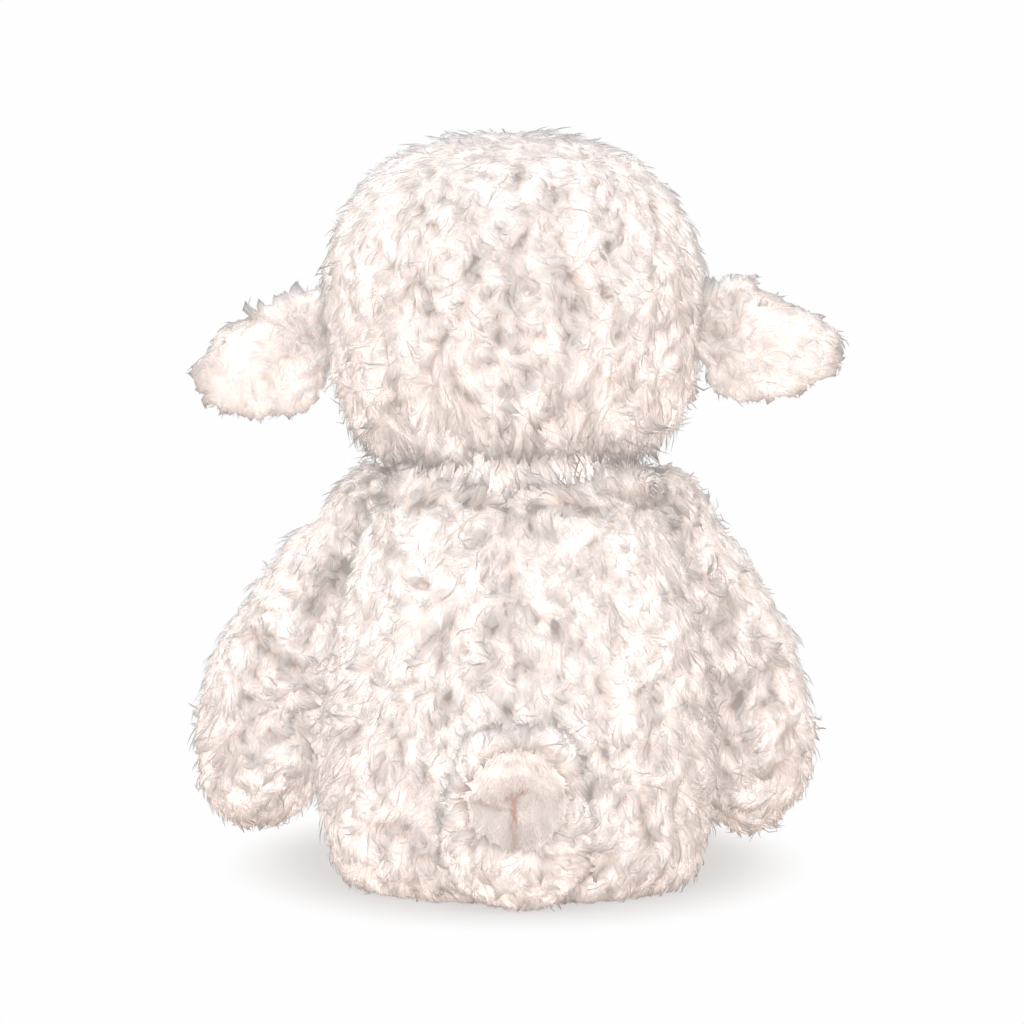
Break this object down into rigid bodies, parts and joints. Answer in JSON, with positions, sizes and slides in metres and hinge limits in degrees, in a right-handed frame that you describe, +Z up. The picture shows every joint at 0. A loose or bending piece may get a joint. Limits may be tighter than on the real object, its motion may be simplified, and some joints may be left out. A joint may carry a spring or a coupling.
{
  "type": "plush sheep",
  "caption": "A seated plush sheep in cream curly pile, with a round head, drooping ears, hanging arms, short legs and a smooth tail.",
  "frame": {"origin": "on the flat seat, 2 mm behind the line between the body's sides, where the body rests", "axes": "+Z up, the face towards -Y, the tail towards +Y, the toy's left towards +X"},
  "size_m": [0.2574, 0.2503, 0.297],
  "materials": {
    "curly_pile": "matte",
    "smooth_pile": "matte",
    "fibre": "matte",
    "calico": "matte",
    "seam_tape": "matte",
    "eye_plastic": "gloss",
    "washer_plastic": "matte",
    "thread": "satin"
  },
  "bodies": {
    "body": {"body_back_panel": "curly_pile", "body_front_panel": "curly_pile", "body_filling": "fibre", "pellet_bag": "calico"},
    "neck_ring": {"neck_seam": "seam_tape"},
    "neck_plug": {"neck_stuffing": "fibre"},
    "head": {"head_cover": "curly_pile", "head_filling": "fibre", "face_panel": "smooth_pile", "nose_stitching": "thread", "mouth_stitching": "thread", "eye_left": "eye_plastic", "eye_right": "eye_plastic", "eye_washer_left": "washer_plastic", "eye_washer_right": "washer_plastic"},
    "arm_left_ring": {"arm_left_seam": "seam_tape"},
    "arm_left": {"arm_left_cover": "curly_pile", "arm_left_filling": "fibre"},
    "leg_left_ring": {"leg_left_seam": "seam_tape"},
    "leg_left": {"leg_left_cover": "curly_pile", "leg_left_filling": "fibre", "foot_sole_left": "smooth_pile"},
    "ear_left": {"ear_left_outer": "curly_pile", "ear_left_lining": "smooth_pile"},
    "arm_right_ring": {"arm_right_seam": "seam_tape"},
    "arm_right": {"arm_right_cover": "curly_pile", "arm_right_filling": "fibre"},
    "leg_right_ring": {"leg_right_seam": "seam_tape"},
    "leg_right": {"leg_right_cover": "curly_pile", "leg_right_filling": "fibre", "foot_sole_right": "smooth_pile"},
    "ear_right": {"ear_right_outer": "curly_pile", "ear_right_lining": "smooth_pile"},
    "tail": {"tail_cover": "smooth_pile", "tail_filling": "fibre"}
  },
  "joints": [
    {"name": "head_turn", "type": "hinge", "parent": "body", "child": "neck_ring", "pos_m": [0, -0.003, 0.173], "axis": [0, 0, 1], "range_deg": [-30, 30], "stiffness_Nm_per_rad": 0.5},
    {"name": "head_nod", "type": "hinge", "parent": "neck_ring", "child": "neck_plug", "pos_m": [0, -0.003, 0.173], "axis": [1, 0, 0], "range_deg": [-10, 10], "stiffness_Nm_per_rad": 1.5},
    {"name": "head_tilt", "type": "hinge", "parent": "neck_plug", "child": "head", "pos_m": [0, -0.003, 0.173], "axis": [0, 1, 0], "range_deg": [-7, 7], "stiffness_Nm_per_rad": 1.5},
    {"name": "arm_left_swing", "type": "hinge", "parent": "body", "child": "arm_left_ring", "pos_m": [0.0545, -0.0355, 0.144], "axis": [-1, 0, 0], "range_deg": [-6, 80], "stiffness_Nm_per_rad": 0.12},
    {"name": "arm_left_lift", "type": "hinge", "parent": "arm_left_ring", "child": "arm_left", "pos_m": [0.0545, -0.0355, 0.144], "axis": [0, -1, 0], "range_deg": [0, 45], "stiffness_Nm_per_rad": 0.12},
    {"name": "arm_right_swing", "type": "hinge", "parent": "body", "child": "arm_right_ring", "pos_m": [-0.0545, -0.0355, 0.144], "axis": [-1, 0, 0], "range_deg": [-6, 80], "stiffness_Nm_per_rad": 0.12},
    {"name": "arm_right_lift", "type": "hinge", "parent": "arm_right_ring", "child": "arm_right", "pos_m": [-0.0545, -0.0355, 0.144], "axis": [0, 1, 0], "range_deg": [0, 45], "stiffness_Nm_per_rad": 0.12},
    {"name": "leg_left_splay", "type": "hinge", "parent": "body", "child": "leg_left_ring", "pos_m": [0.039, -0.053, 0.0238], "axis": [0, 0, 1], "range_deg": [-8, 15], "stiffness_Nm_per_rad": 0.2},
    {"name": "leg_left_raise", "type": "hinge", "parent": "leg_left_ring", "child": "leg_left", "pos_m": [0.039, -0.053, 0.0238], "axis": [-0.9994, -0.0349, 0], "range_deg": [-30, 38], "stiffness_Nm_per_rad": 0.2},
    {"name": "leg_right_splay", "type": "hinge", "parent": "body", "child": "leg_right_ring", "pos_m": [-0.039, -0.053, 0.0238], "axis": [0, 0, -1], "range_deg": [-15, 15], "stiffness_Nm_per_rad": 0.2},
    {"name": "leg_right_raise", "type": "hinge", "parent": "leg_right_ring", "child": "leg_right", "pos_m": [-0.039, -0.053, 0.0238], "axis": [-0.9744, 0.225, 0], "range_deg": [-30, 38], "stiffness_Nm_per_rad": 0.2},
    {"name": "ear_left_flap", "type": "hinge", "parent": "head", "child": "ear_left", "pos_m": [0.07756, -0.009, 0.21875], "axis": [0, -1, 0], "range_deg": [-15, 40], "stiffness_Nm_per_rad": 0.03},
    {"name": "ear_right_flap", "type": "hinge", "parent": "head", "child": "ear_right", "pos_m": [-0.0754, -0.009, 0.22222], "axis": [0, 1, 0], "range_deg": [-15, 40], "stiffness_Nm_per_rad": 0.03},
    {"name": "tail_lift", "type": "hinge", "parent": "body", "child": "tail", "pos_m": [0, 0.0705, 0.057], "axis": [1, 0, 0], "range_deg": [0, 50], "stiffness_Nm_per_rad": 0.03}
  ]
}
